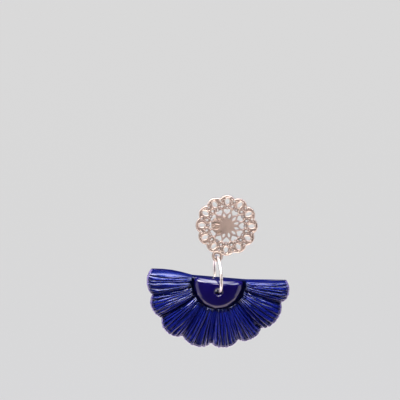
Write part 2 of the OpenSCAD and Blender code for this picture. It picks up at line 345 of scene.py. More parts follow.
jumpRing = {
    "wire": 0.8, "middleR": 4.6, "cut": 0.06, "cutAt": 63, "endRound": 0.1, "around": 28, "along": 260,
}


def makeRing(v):
    # a round wire bent to a ring, its two sawn ends nearly meeting low on the front, their edges broken
    back = ringAxis.cross(hangDown)
    half = v["cut"] / v["middleR"] / 2
    start = -math.radians(v["cutAt"]) + half
    turn = 2 * math.pi - 2 * half
    wireR = v["wire"] / 2
    ends = [(0, wireR - v["endRound"]), (v["endRound"] / v["middleR"], wireR)]
    steps = ends + [(s * turn / v["along"], wireR) for s in range(1, v["along"])]
    steps += [(turn - a, r) for a, r in reversed(ends)]
    verts = []
    for angle, r in steps:
        a = start + angle
        out = hangDown * math.cos(a) + back * math.sin(a)
        for i in range(v["around"]):
            b = 2 * math.pi * i / v["around"]
            away = out * (v["middleR"] + r * math.cos(b))
            verts.append((ringMiddle + away + ringAxis * r * math.sin(b)) * mm)
    ring = cappedTube("jump_ring_wire", verts, v["around"])
    ring.data.materials.append(wireMaterial)
    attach(ring, "ring")
    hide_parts("jump_ring")


makeRing(jumpRing)

earPost = {
    "padR": 2.5, "padT": 0.5, "padRound": 0.12, "postR": 0.4, "postL": 11, "fillet": 0.25, "around": 64,
}


def lathe(name, profile, around, place):
    # turns a profile of (radius, height) rows about the height axis
    turns = [2 * math.pi * i / around for i in range(around)]
    verts = [place @ Vector((r * math.cos(a), h, r * math.sin(a))) * mm for r, h in profile for a in turns]
    return cappedTube(name, verts, around)


def arc(midR, midH, r, start, end, steps):
    angles = np.radians(np.linspace(start, end, steps))
    return [(midR + r * math.cos(a), midH + r * math.sin(a)) for a in angles]


def makePost(v):
    edge, r, fillet = v["padRound"], v["postR"], v["fillet"]
    profile = arc(v["padR"] - edge, -v["padT"] + edge, edge, -90, 0, 6)
    profile += arc(v["padR"] - edge, -edge, edge, 0, 90, 6)
    # solder fillet between pad and post, then the rounded tip
    profile += [(r + fillet - fillet * math.sin(a), fillet - fillet * math.cos(a))
                for a in np.radians(np.linspace(0, 90, 7))]
    profile += arc(0, v["postL"] - r, r, 0, 86, 8)
    post = lathe("ear_post_and_pad", profile, v["around"], Matrix.Identity(3))
    post.data.materials.append(padMaterial)
    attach(post, "stud")
    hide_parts("ear_post")


makePost(earPost)
print("stage: ring and post made")

disc = {
    "across": 16, "thick": 0.7, "scallops": 12, "scallopR": 2.25, "turn": 1.2, "offset": 1.5, "padT": 0.5,
    "eyeD": 2.9, "eyeHole": 1.4, "weld": 0.2, "bevel": 0.05,
    # a scallop's large gap: way out, length and width as shares of the field
    "oval": (1.113, 0.306, 0.188),
    # raised wires; In says how far from the edge their middles lie, in wire radii
    "wireR": 0.15, "wireSink": 0.03, "wireSides": 8, "rimWireIn": 1.05, "eyeWireIn": 1.3, "ovalWireOut": 0.3,
    # beads: a ring of pairs, a row along each scallop's rim by angle, and others by way out and turn
    "beadR": 0.19, "beadScatter": 0.25, "seed": 4, "pairsAt": 0.843, "rimBeads": (-54, -18, 18, 54),
    "rimBeadIn": 0.55, "beads": [(1.0, 0.5), (0.75, 0.5), (1.04, 0.36), (1.04, -0.36), (0.93, 0.22),
                                 (0.93, -0.22), (0.78, 0.36), (0.78, -0.36)],
    "grainR": 0.12, "grainPitch": 0.4, "grainRoom": 0.08, "grainsFrom": 4.5,
}
disc["field"] = disc["across"] / 2 - disc["scallopR"]
halfPitch = math.pi / disc["scallops"]
disc["notch"] = disc["field"] * math.cos(halfPitch) + math.sqrt(
    disc["scallopR"] ** 2 - (disc["field"] * math.sin(halfPitch)) ** 2)
disc["eyeAt"] = disc["notch"] + disc["eyeD"] / 2 - disc["weld"]


def discPlace(x, y, depth):
    # a point of the disc's flat pattern, depth in front of its back face
    a = -math.radians(disc["turn"])
    px, pz = x * math.cos(a) - y * math.sin(a), x * math.sin(a) + y * math.cos(a)
    return Vector((disc["offset"] + px, -disc["padT"] - depth, pz)) * mm


def turned(points, turns):
    a = 2 * math.pi * turns / disc["scallops"] + math.pi    # the first scallop points straight down
    return [(x * math.cos(a) - y * math.sin(a), x * math.sin(a) + y * math.cos(a)) for x, y in points]


def circlePoints(x, y, r, steps):
    angles = [2 * math.pi * i / steps for i in range(steps)]
    return [(x + r * math.cos(a), y + r * math.sin(a)) for a in angles]


def ovalPoints(at, length, width, steps=12):
    # two wide arcs that meet in a point at either end
    r = ((length / 2) ** 2 + (width / 2) ** 2) / width
    sweep = math.asin(length / 2 / r)
    side = [(r * math.cos(a) - r + width / 2, at + r * math.sin(a))
            for a in np.linspace(-sweep, sweep, steps)][:-1]
    return side + [(-x, 2 * at - y) for x, y in side]


def largeOval(grow=0.0, steps=12):
    at, length, width = (share * disc["field"] for share in disc["oval"])
    return ovalPoints(at, length + grow, width + grow, steps)


def heartPoints(at, length, width, steps=10):
    # a point towards the middle, two round lobes outwards
    lobe = 0.27 * width
    cx, cy = width / 2 - lobe, length / 2 - lobe
    inner = math.acos(min(1, cx / lobe))
    right = [(cx + lobe * math.cos(a), at + cy + lobe * math.sin(a))
             for a in np.linspace(-math.radians(40), math.pi - inner, steps)]
    return [(0, at - length / 2)] + right + [(-x, y) for x, y in reversed(right[:-1])]


def discOutline(steps=5):
    # scallops and the eye as arcs between the points where neighbours cross
    n = disc["scallops"]
    circles = [(disc["field"], 2 * math.pi * (k / n) - math.pi / 2, disc["scallopR"]) for k in range(n)]
    circles.insert(n, (disc["eyeAt"], -math.pi / 2 - halfPitch, disc["eyeD"] / 2))
    mids = [(d * math.cos(a), d * math.sin(a), r) for d, a, r in circles]

    def crossing(one, two):
        dx, dy = two[0] - one[0], two[1] - one[1]
        gap = math.hypot(dx, dy)
        along = (gap ** 2 + one[2] ** 2 - two[2] ** 2) / (2 * gap)
        aside = math.sqrt(max(0, one[2] ** 2 - along ** 2))
        sides = [(one[0] + (along * dx + s * aside * dy) / gap, one[1] + (along * dy - s * aside * dx) / gap)
                 for s in (1, -1)]
        return max(sides, key=lambda p: math.hypot(*p))

    points = []
    for i, (x, y, r) in enumerate(mids):
        start, end = crossing(mids[i - 1], mids[i]), crossing(mids[i], mids[(i + 1) % len(mids)])
        a, b = [math.atan2(p[1] - y, p[0] - x) for p in (start, end)]
        b += 2 * math.pi * (b < a)
        count = max(4, int(math.degrees(b - a) / steps))
        points += [(x + r * math.cos(t), y + r * math.sin(t)) for t in np.linspace(a, b, count)[:-1]]
    return points


def discGaps():
    # the pierced pattern in shares of the field's or the notches' radius, each with its turn in pitches
    f, notch = disc["field"], disc["notch"]
    rows = [
        (largeOval(), 0),
        (circlePoints(0, 0.925 * notch, 0.031 * notch, 20), 0.5),
        (circlePoints(0, 0.913 * f, 0.054 * f, 24), 0.5),
        (circlePoints(0, 0.831 * f, 0.0365 * f, 20), 0),
        (heartPoints(0.647 * f, 0.261 * f, 0.299 * f), 0),
        (ovalPoints(0.452 * f, 0.261 * f, 0.115 * f), 0.5),
    ]
    return [turned(points, k + share) for points, share in rows for k in range(disc["scallops"])]


def eyeCircle(r, steps):
    a = -math.pi / 2 - halfPitch
    return circlePoints(disc["eyeAt"] * math.cos(a), disc["eyeAt"] * math.sin(a), r, steps)


def makeDiscPlate(v):
    # a flat curve with holes, filled and given rounded edges as a stamping has
    curve = bpy.data.curves.new("disc_curve", "CURVE")
    curve.dimensions = "2D"
    curve.fill_mode = "BOTH"
    gaps = [list(reversed(points)) for points in discGaps() + [eyeCircle(v["eyeHole"] / 2, 32)]]
    for points in [discOutline()] + gaps:
        spline = curve.splines.new("POLY")
        spline.points.add(len(points) - 1)
        spline.points.foreach_set("co", np.array([(x, y, 0, 1) for x, y in points], np.float32).ravel())
        spline.use_cyclic_u = True
    curve.extrude = v["thick"] / 2 - v["bevel"]
    curve.bevel_depth = v["bevel"]
    curve.bevel_resolution = 2
    curve.offset = -v["bevel"]
    flat = addObject("disc_curve", curve)
    mesh = plainMesh(flat)
    bpy.data.objects.remove(flat)
    plate = addObject("filigree_plate", mesh)
    co = np.empty(len(mesh.vertices) * 3, np.float32)
    mesh.vertices.foreach_get("co", co)
    co = np.array([discPlace(x, y, z + v["thick"] / 2) for x, y, z in co.reshape(-1, 3)], np.float32)
    mesh.vertices.foreach_set("co", co.ravel())
    finishMesh(plate)
    for face in plate.data.polygons:
        face.use_smooth = abs(face.normal.y) < 0.999    # all but the flat front and back
    plate.data.materials.clear()
    plate.data.materials.append(discMaterial)
    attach(plate, "stud")
    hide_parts("filigree_disc")


def makeDiscWires(v):
    # raised round wires along the scallops and the large gaps, swept by a tree
    f = v["field"]
    lift = v["thick"] - v["wireSink"]
    rimR = v["scallopR"] - v["wireR"] * v["rimWireIn"]
    reach = math.pi / 2 + halfPitch - math.acos(f * math.sin(halfPitch) / rimR)    # where neighbours meet
    rim = [(rimR * math.sin(a), f + rimR * math.cos(a)) for a in np.linspace(-reach, reach, 22)]
    paths = [turned(largeOval(v["ovalWireOut"], 16), k) for k in range(v["scallops"])]
    paths += [turned(rim, k) for k in range(v["scallops"])]
    paths.append(eyeCircle(v["eyeD"] / 2 - v["wireR"] * v["eyeWireIn"], 36))
    verts, edges = [], []
    for i, path in enumerate(paths):
        first = len(verts)
        verts += [discPlace(x, y, lift) for x, y in path]
        edges += [(first + j, first + j + 1) for j in range(len(path) - 1)]
        if i < v["scallops"] or i == len(paths) - 1:
            edges.append((len(verts) - 1, first))
    wires = newMesh("filigree_wires", verts, [], edges)
    sizes = {"wire radius": v["wireR"] * mm, "sides": v["wireSides"], "material": raisedMaterial}
    tree, given = newTree("wire along paths", sizes)
    line = addNode(tree, "GeometryNodeMeshToCurve", [given["Geometry"]])
    section = addNode(tree, "GeometryNodeCurvePrimitiveCircle", {
        "Resolution": given["sides"], "Radius": given["wire radius"]})
    swept = addNode(tree, "GeometryNodeCurveToMesh", {
        "Curve": line, "Profile Curve": section, "Fill Caps": True})
    closeTree(tree, swept, given["material"])
    growMesh(wires, tree, sizes)
    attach(wires, "stud")


def nearest(points, others):
    # from each point, how far the nearest of the others is
    apart = np.array(points)[:, None, :] - np.array(others)[None, :, :]
    return np.linalg.norm(apart, axis=2).min(axis=1)


def inside(points, loop):
    # whether each point lies in the loop, by counting the edges on its right
    x, y = points[:, :1], points[:, 1:]
    start = np.array(loop)
    end = np.roll(start, -1, axis=0)
    crossed = (start[:, 1] > y) != (end[:, 1] > y)
    rise = np.where(crossed, end[:, 1] - start[:, 1], 1)
    at = start[:, 0] + (y - start[:, 1]) * (end[:, 0] - start[:, 0]) / rise
    return np.sum(crossed & (x < at), axis=1) % 2 == 1


def grainSpots(v, beads):
    # a close grid of small grains where one scallop has room for them, turned to all the others
    pitch, f, room = v["grainPitch"], v["field"], v["grainR"] + v["grainRoom"]
    rows = np.arange(v["grainsFrom"], v["across"] / 2, pitch * math.sqrt(3) / 2)
    spots = np.array([((i + (k % 2) / 2) * pitch, y) for k, y in enumerate(rows) for i in range(-6, 7)])
    x, y = np.abs(spots[:, 0]), spots[:, 1]
    fits = y * math.sin(halfPitch) - x * math.cos(halfPitch) > v["grainR"]    # clear of the next scallop
    fits &= np.hypot(x, y - f) < v["scallopR"] - 2.2 * v["wireR"] - room    # and of the rim's wire
    for gap in discGaps():
        fits &= (nearest(spots, gap) > room) & ~inside(spots, gap)
    ovalWire = turned(largeOval(v["ovalWireOut"], 16), v["scallops"] / 2)    # the one that points up
    fits &= nearest(spots, ovalWire) > v["wireR"] + room
    fits &= nearest(spots, beads) > v["beadR"] + v["grainR"]
    return [p for k in range(v["scallops"]) for p in turned([tuple(s) for s in spots[fits]], k)]


def makeDiscBeads(v):
    # granulation by a tree on points: beads on the rim, between the gaps and round the plain middle
    f = v["field"]
    spots = [p for k in range(v["scallops"]) for share in (0.25, 0.75)
             for p in turned([(0, v["pairsAt"] * f)], k + share)]
    for k in range(v["scallops"]):
        for a in np.radians(v["rimBeads"]):
            r = v["scallopR"] - v["rimBeadIn"]
            spots += turned([(r * math.sin(a), f + r * math.cos(a))], k)
        for at, share in v["beads"]:
            spots += turned([(0, at * f)], k + share)
    grains = grainSpots(v, spots)
    ownSize = [1.0] * len(spots) + [v["grainR"] / v["beadR"]] * len(grains)
    places = [discPlace(x, y, v["thick"]) for x, y in spots + grains]
    beads = newMesh("filigree_beads", places, [], values={"ownSize": ownSize})
    sizes = {"bead radius": v["beadR"] * mm, "scatter": v["beadScatter"], "seed": v["seed"],
             "material": raisedMaterial}
    tree, given = newTree("beads on points", sizes)
    points = addNode(tree, "GeometryNodeMeshToPoints", [given["Geometry"]])
    ball = addNode(tree, "GeometryNodeMeshIcoSphere", {"Radius": given["bead radius"], "Subdivisions": 2})
    low = addNode(tree, "ShaderNodeMath", [1.0, given["scatter"]], operation="SUBTRACT")
    size = addNode(tree, "FunctionNodeRandomValue", {
        "Min": low, "Max": 1.0, "Seed": given["seed"]}, data_type="FLOAT")
    own = addNode(tree, "GeometryNodeInputNamedAttribute", {"Name": "ownSize"}, data_type="FLOAT")
    scale = addNode(tree, "ShaderNodeMath", [size, own], operation="MULTIPLY")
    placed = addNode(tree, "GeometryNodeInstanceOnPoints", {
        "Points": points, "Instance": ball, "Scale": scale})
    closeTree(tree, placed, given["material"])
    growMesh(beads, tree, sizes)
    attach(beads, "stud")


makeDiscPlate(disc)
makeDiscWires(disc)
makeDiscBeads(disc)
print("stage: disc made")

fan = {
    "radius": 18.8, "petalT": 3.4, "webT": 1.8, "flare": 2.5, "notch": 0.06, "groove": 0.5, "roll": 5,
    "hubR": 6.65, "hubSink": 0.95, "hubH": 2.4, "hubRimH": 0.9,
    # the hole, and where in the petals' thickness its middle hangs
    "boreDrop": 2.9, "boreAside": 0.15, "boreBevel": 0.5, "touch": 0.05, "hangShare": 0.42,
    # petals from the right end round the foot: width and reach shares
    "petals": [(20.4, 1.01), (28.7, 1.03), (22.1, 1.02), (23.7, 1.035),
               (24.4, 1.06), (23.6, 1.085), (21.6, 1.045), (22.7, 1.01)],
    # way out, height in the notches, added height in mid petal
    "sections": [(0, 0.62, 0.14), (0.05, 0.67, 0.18), (0.2, 0.75, 0.21), (0.45, 0.75, 0.22),
                 (0.7, 0.67, 0.22), (0.86, 0.54, 0.23), (0.95, 0.42, 0.2), (1, 0.28, 0.12)],
    "tipPower": 2.4, "puffPower": 3.2, "nose": 0.6, "backOut": 0.5,
    "columns": 80, "rows": 56, "noseRows": 9, "backRows": 5, "chordColumns": 40,
    # soft chamfer on the flat top's front, its size at either end, and a petal's reach at the foot and beyond
    "edgeDeep": 0.95, "edgeWide": 1.15, "edgePower": 1.4, "endEdges": (0.5, 1.0), "footReach": 9, "moreReach": 9,
    # the left end petal's bulge above the flat top
    "endRise": 0.5, "riseOver": 0.14, "riseShift": 0.3,
    # the fine line between two petals
    "gapFrom": 0.9, "gapWide": 0.1, "gapDeep": 0.1, "gapStart": 0.1, "gapEnd": 0.12,
    # the strands: depths in mm, the radians left bare at the right and left end, and how they fade
    "strands": 6.2, "wander": 2.25, "ridgePower": 0.62, "strandDeep": 0.54, "deepVaries": 1.6,
    "levelDeep": 0.35, "fineDeep": 0.04, "finePerStrand": 2.6, "fineWander": 5.0, "seed": 3,
    "endBare": (0.02, 0.045), "score": 0.09, "scoreRows": 5,
    "tipFade": 0.35, "fadeFrom": 0.84, "fadeOver": 0.12, "nosePower": 1.5,
    # their uneven run: name, scale across and along a petal, shift into the noise
    "uneven": [("bend", 1.9, 0.8, 0.0), ("fineBend", 4.0, 2.2, 11.0), ("deepVary", 4.0, 1.2, 5.0)],
}
fan["setBack"] = fan["hangShare"] * fan["petalT"]


def domeHeight(v, fromMiddle):
    rise = v["hubH"] - v["hubRimH"]
    r = (v["hubR"] ** 2 + rise ** 2) / (2 * rise)
    return v["hubH"] - r + np.sqrt(r ** 2 - fromMiddle ** 2)


def edgeDrop(v, fromTop, size=1.0):
    # how far the front falls back near the flat top: a soft chamfer
    return size * v["edgeDeep"] * np.clip(1 - fromTop / (size * v["edgeWide"]), 0, 1) ** v["edgePower"]


def fitBore(v, wire):
    # the straight hole that just holds the curved wire between its two mouths
    fromMiddle = math.hypot(v["boreAside"], v["boreDrop"] - v["hubSink"])
    front = v["webT"] + domeHeight(v, fromMiddle) - v["setBack"]
    run = max(front, v["setBack"]) - v["boreBevel"]
    twist = math.atan2(ringAxis.y, ringAxis.x)
    aside, along = run * math.tan(twist), run / math.cos(twist)
    middle, half = wire["middleR"], wire["wire"] / 2
    low = math.sqrt(middle ** 2 - along ** 2)
    up = middle + half + v["touch"] - low
    room = v["touch"] + half * middle / low
    r = (aside ** 2 + up ** 2 - room ** 2) / (2 * (up - room))
    return r, middle + half + v["touch"] - r


boreR, boreAt = fitBore(fan, jumpRing)
boreMiddle = ringMiddle + hangDown * boreAt
fanPlace = (Matrix.Translation(boreMiddle) @ Matrix.Rotation(math.radians(fan["roll"]), 4, "Y")
            @ Matrix.Translation((-fan["boreAside"], fan["setBack"], fan["boreDrop"])))


def toWorld(points):
    flat = np.asarray(points, float).reshape(-1, 3)
    m = np.array(fanPlace)
    return (flat @ m[:3, :3].T + m[:3, 3]) * mm


def smoothTable(x, xs, ys):
    # a curve without kinks through the table's rows
    xs, ys = np.array(xs, float), np.array(ys, float)
    slope = np.gradient(ys, xs)
    i = np.clip(np.searchsorted(xs, x) - 1, 0, len(xs) - 2)
    h = xs[i + 1] - xs[i]
    u = (x - xs[i]) / h
    return ((1 + 2 * u) * (1 - u) ** 2 * ys[i] + u * (1 - u) ** 2 * h * slope[i]
            + u ** 2 * (3 - 2 * u) * ys[i + 1] + u ** 2 * (u - 1) * h * slope[i + 1])


def fanColumns(v):
    # for each column of the fan: petal, place across it, inner point and outer point
    n = len(v["petals"])
    k = np.arange(n * v["columns"] + 1)
    petal = np.minimum(k // v["columns"], n - 1)
    across = 2 * (k / v["columns"] - petal) - 1
    wide = np.array([p[0] for p in v["petals"]], float)
    tips = v["radius"] * np.array([p[1] for p in v["petals"]])
    before = np.concatenate([[0], np.cumsum(wide)])
    share = (before[petal] + wide[petal] * (across + 1) / 2) / before[-1]
    other = np.clip(petal + np.sign(across).astype(int), 0, n - 1)
    low = (tips[petal] + tips[other]) / 2 * (1 - v["notch"])
    reach = low + (tips[petal] - low) * (1 - np.abs(across) ** v["tipPower"])
    b = np.radians(180 * share)
    innerR = v["hubR"] + v["groove"]
    rho = v["hubSink"] * np.sin(b) + np.sqrt(innerR ** 2 - (v["hubSink"] * np.cos(b)) ** 2)
    inner = np.stack([rho * np.cos(b), -rho * np.sin(b)], 1)
    b = np.radians((180 + 2 * v["flare"]) * share - v["flare"])
    outer = np.stack([reach * np.cos(b), -reach * np.sin(b)], 1)
    return petal, across, inner, outer


def makeFan(v):
    petal, across, inner, outer = fanColumns(v)
    n = len(petal)
    length = np.linalg.norm(outer - inner, axis=1)
    out = (outer - inner) / length[:, None]
    tEnd = 1 - v["nose"] / length
    verts, values = [], {"petal": [], "across": [], "along": [], "carve": [], "plain": []}
    places, floor, crown = zip(*v["sections"])
    puff = 1 - np.abs(across) ** v["puffPower"]
    # the two end petals have a rounded front edge along the fan's flat top
    total = np.arange(n) / (n - 1)
    fromEnd = np.minimum(total, 1 - total) * math.pi
    endMask = np.clip(fromEnd / np.where(total < 0.5, *v["endBare"]) - 1, 0, 1)
    edgeSize = np.where(total < 0.5, *v["endEdges"])
    rise = v["endRise"] * np.clip(1 - (1 - total) * math.pi / v["riseOver"], 0, 1)

    def put(xz, y, t, carve, plain, shift=0.0):
        # one row of points, lifted where the left end petal bulges, with its values
        bulge = np.sin(math.pi * (shift + (1 - shift) * np.minimum(t, 1)))
        verts.extend(np.stack([xz[:, 0], y, xz[:, 1] + rise * bulge], 1))
        for key, column in zip(values, (petal, across, t, carve, plain)):
            values[key] += list(np.broadcast_to(column, n).astype(float))

    def height(t):
        crest = smoothTable(t, places, floor) + smoothTable(t, places, crown) * puff
        gap = np.clip((np.abs(across) - v["gapFrom"]) / v["gapWide"], 0, 1)
        between = (fromEnd > v["gapEnd"]) * np.clip(t / v["gapStart"], 0, 1)
        h = v["petalT"] * crest + v["score"] - v["gapDeep"] * gap ** 2 * between
        return h - edgeDrop(v, fromEnd * (v["footReach"] + v["moreReach"] * t), edgeSize)

    # the front from the hub out, the rounded nose, and the flat back
    bevel, web = v["boreBevel"], -v["webT"]
    put(inner, np.full(n, web), 0, 0, 0)
    for row in range(v["rows"]):
        t = tEnd * row / (v["rows"] - 1)
        fade = 1 - v["tipFade"] * np.clip((t - v["fadeFrom"]) / v["fadeOver"], 0, 1)
        carve = endMask * np.clip(row / v["scoreRows"], 0, 1) * fade
        put(inner + out * (length * t)[:, None], -height(t), t, carve, 1 - endMask, v["riseShift"])
    edgeH = height(tEnd)
    for row in range(1, v["noseRows"]):
        a = math.pi * row / v["noseRows"]
        front = (1 + math.cos(a)) / 2
        bulge = math.sin(a) if a < math.pi / 2 else v["backOut"] + (1 - v["backOut"]) * math.sin(a)
        carve = endMask * (1 - v["tipFade"]) * front ** v["nosePower"]
        xz = inner + out * (length * tEnd + v["nose"] * bulge)[:, None]
        put(xz, -edgeH * front, tEnd + (1 - tEnd) * bulge, carve, (1 - math.cos(a)) / 2, v["riseShift"])
    for row in range(v["backRows"]):
        t = (tEnd + v["backOut"] * (1 - tEnd)) * (1 - row / (v["backRows"] - 1))
        put(inner + out * (length * t)[:, None], np.zeros(n), t, 0, 1)
    rows = len(verts) // n
    faces = [(r * n + k, r * n + n + k, r * n + n + k + 1, r * n + k + 1)
             for r in range(rows - 1) for k in range(n - 1)]
    faces += [tuple(r * n for r in range(rows)), tuple(r * n + n - 1 for r in range(rows))]

    # the web behind the hub: rings round the hole, by share of the way out or radius, and depth
    chordX = np.linspace(inner[-1, 0], inner[0, 0], v["chordColumns"] + 2)[1:-1]
    edge = np.concatenate([inner, np.stack([chordX, np.zeros(len(chordX))], 1)])
    middle = np.array([v["boreAside"], -v["boreDrop"]])
    spoke = edge - middle
    far = np.linalg.norm(spoke, axis=1)
    spoke = spoke / far[:, None]
    loops = [(1.0, None, web), (0.5, None, web), (None, boreR, web), (None, boreR, -bevel)]
    loops += [(None, boreR + bevel * (1 - math.cos(a)), -bevel * (1 - math.sin(a)))
              for a in np.radians((20, 40, 60, 90))]
    loops += [(0.5, None, 0.0), (1.0, None, 0.0)]
    first, m = len(verts), len(edge)
    for share, r, y in loops:
        reach = far * share + (boreR + bevel) * (1 - share) if share is not None else np.full(m, r)
        xz = middle + spoke * reach[:, None]
        verts.extend(np.stack([xz[:, 0], np.full(m, y), xz[:, 1]], 1))
        for key in values:
            values[key] += [float(key == "plain" and y > -bevel)] * m
    faces += loopFaces(len(loops), m, first)
    last = first + (len(loops) - 1) * m
    faces += [(first + i, last + i, last + (i + 1) % m, first + (i + 1) % m) for i in range(n - 1, m)]
    piece = finishMesh(newMesh("pleated_petals", toWorld(verts), faces, values=values))
    scoreStrands(piece, v)
    piece.data.set_sharp_from_angle(angle=math.radians(75))
    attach(piece, "drop")
    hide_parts("pleated_fan")


def scoreStrands(piece, v):
    # a tree that scores uneven grooves from the hub to the rim and keeps their pattern
    sizes = {"strands": v["strands"], "wander": v["wander"], "depth": v["strandDeep"] * mm,
             "fine depth": v["fineDeep"] * mm, "level depth": v["levelDeep"] * mm, "seed": v["seed"],
             "material": clayMaterial}
    tree, given = newTree("scored strands", sizes)
    at = {**v, **{label: given[label] for label in sizes}}
    for name in ("across", "along", "petal", "carve", "plain"):
        at[name] = addNode(tree, "GeometryNodeInputNamedAttribute", {"Name": name}, data_type="FLOAT")
    at["seedShift"] = addNode(tree, "ShaderNodeMath", [at["seed"], 31.7], operation="MULTIPLY")
    for name, acrossScale, alongScale, shift in v["uneven"]:
        # soft noise along the petal, another part of it for each petal and seed
        shifted = addNode(tree, "ShaderNodeMath", [at["seedShift"], shift], operation="ADD")
        where = addNode(tree, "ShaderNodeCombineXYZ", [
            addNode(tree, "ShaderNodeMath", [at["across"], acrossScale], operation="MULTIPLY"),
            addNode(tree, "ShaderNodeMath", [at["along"], alongScale], operation="MULTIPLY"),
            addNode(tree, "ShaderNodeMath", [at["petal"], 7.31, shifted], operation="MULTIPLY_ADD")])
        noise = addNode(tree, "ShaderNodeTexNoise", {"Vector": where, "Scale": 1.0, "Detail": 2.0})
        at[name] = addNode(tree, "ShaderNodeMath", [noise, 0.5], operation="SUBTRACT")
    # result, operation and what it works on: numbers, values of the fan or earlier results
    steps = [
        ("wander", "MULTIPLY", "bend", "wander"),
        ("halfWidth", "MULTIPLY", "strands", 0.5),
        ("strandAt", "MULTIPLY_ADD", "across", "halfWidth", "wander"),
        ("wave", "MULTIPLY", "strandAt", math.pi), ("wave", "SINE", "wave"), ("wave", "ABSOLUTE", "wave"),
        ("ridge", "POWER", "wave", "ridgePower"),
        ("groove", "SUBTRACT", 1.0, "ridge"), ("deep", "MULTIPLY", "groove", "depth"),
        # some grooves are deeper than others along their way
        ("deepVary", "MULTIPLY_ADD", "deepVary", "deepVaries", 1.0), ("deep", "MULTIPLY", "deep", "deepVary"),
        # each strand has a level of its own, drawn by its number
        ("number", "FLOOR", "strandAt"), ("number", "MULTIPLY_ADD", "petal", 37.0, "number"),
        ("number", "ADD", "number", "seedShift"), ("level", "WHITE_NOISE", "number"),
        ("sunk", "MULTIPLY", "level", "ridge"), ("sunk", "MULTIPLY", "sunk", "level depth"),
        # fine lines between the grooves
        ("fineAt", "MULTIPLY", "strandAt", "finePerStrand"),
        ("fineAt", "MULTIPLY_ADD", "fineBend", "fineWander", "fineAt"),
        ("fine", "MULTIPLY", "fineAt", math.pi), ("fine", "SINE", "fine"), ("fine", "ABSOLUTE", "fine"),
        ("fine", "SUBTRACT", 1.0, "fine"), ("fine", "MULTIPLY", "fine", "fine depth"),
        # all of it together, as far as the point is to be carved
        ("down", "ADD", "deep", "sunk"), ("down", "ADD", "down", "fine"),
        ("down", "MULTIPLY", "carve", "down"), ("down", "MULTIPLY", "down", -1.0),
        # what the material reads: the ridges for the painted groove shade, each strand's level, and where the
        # rim's painted reflection goes
        ("plainRidge", "MULTIPLY", "plain", 0.8), ("ridge", "MULTIPLY_ADD", "ridge", "carve", "plainRidge"),
        ("level", "MULTIPLY", "level", "carve"),
        ("paintedRimShare", "SUBTRACT", 1.0, "plain"), ("paintedRimShare", "POWER", "paintedRimShare", 2.0),
    ]
    for name, operation, *values in steps:
        values = [at.get(value, value) for value in values]
        if operation == "WHITE_NOISE":
            at[name] = addNode(tree, "ShaderNodeTexWhiteNoise", {"W": values[0]}, noise_dimensions="1D")
        else:
            at[name] = addNode(tree, "ShaderNodeMath", values, operation=operation)
    normal = addNode(tree, "GeometryNodeInputNormal")
    move = addNode(tree, "ShaderNodeVectorMath", {0: normal, "Scale": at["down"]}, operation="SCALE")
    flow = addNode(tree, "GeometryNodeSetPosition", {"Geometry": given["Geometry"], "Offset": move})
    # a pale line is painted along the very edge of each petal's front, a painted reflection of the light below
    outer = addNode(tree, "ShaderNodeMapRange", {"Value": at["along"], "From Min": 0.95, "From Max": 0.99})
    at["rim"] = addNode(tree, "ShaderNodeMath", [outer, at["paintedRimShare"]], operation="MULTIPLY")
    for name in ("ridge", "level", "rim"):
        flow = addNode(tree, "GeometryNodeStoreNamedAttribute", {
            "Geometry": flow, "Name": name, "Value": at[name]}, data_type="FLOAT", domain="POINT")
    closeTree(tree, flow, given["material"])
    growMesh(piece, tree, sizes)


hub = {
    **fan, "rimSpread": 0.15, "rimWide": 1.6, "rimDrop": 0.55, "topEdge": 0.74, "leastHeight": 0.12,
    # the power rounds the corners where the rim meets the flat top: the lower, the softer
    "cornerPower": 28.0, "mouthPower": 1.5,
    # narrower at the sides and longer below the hole, growing over the first millimetres
    "narrower": 0.07, "longer": 0.045, "growOver": 3,
    "rays": 288, "domeRows": 26, "rowPower": 0.9,
}


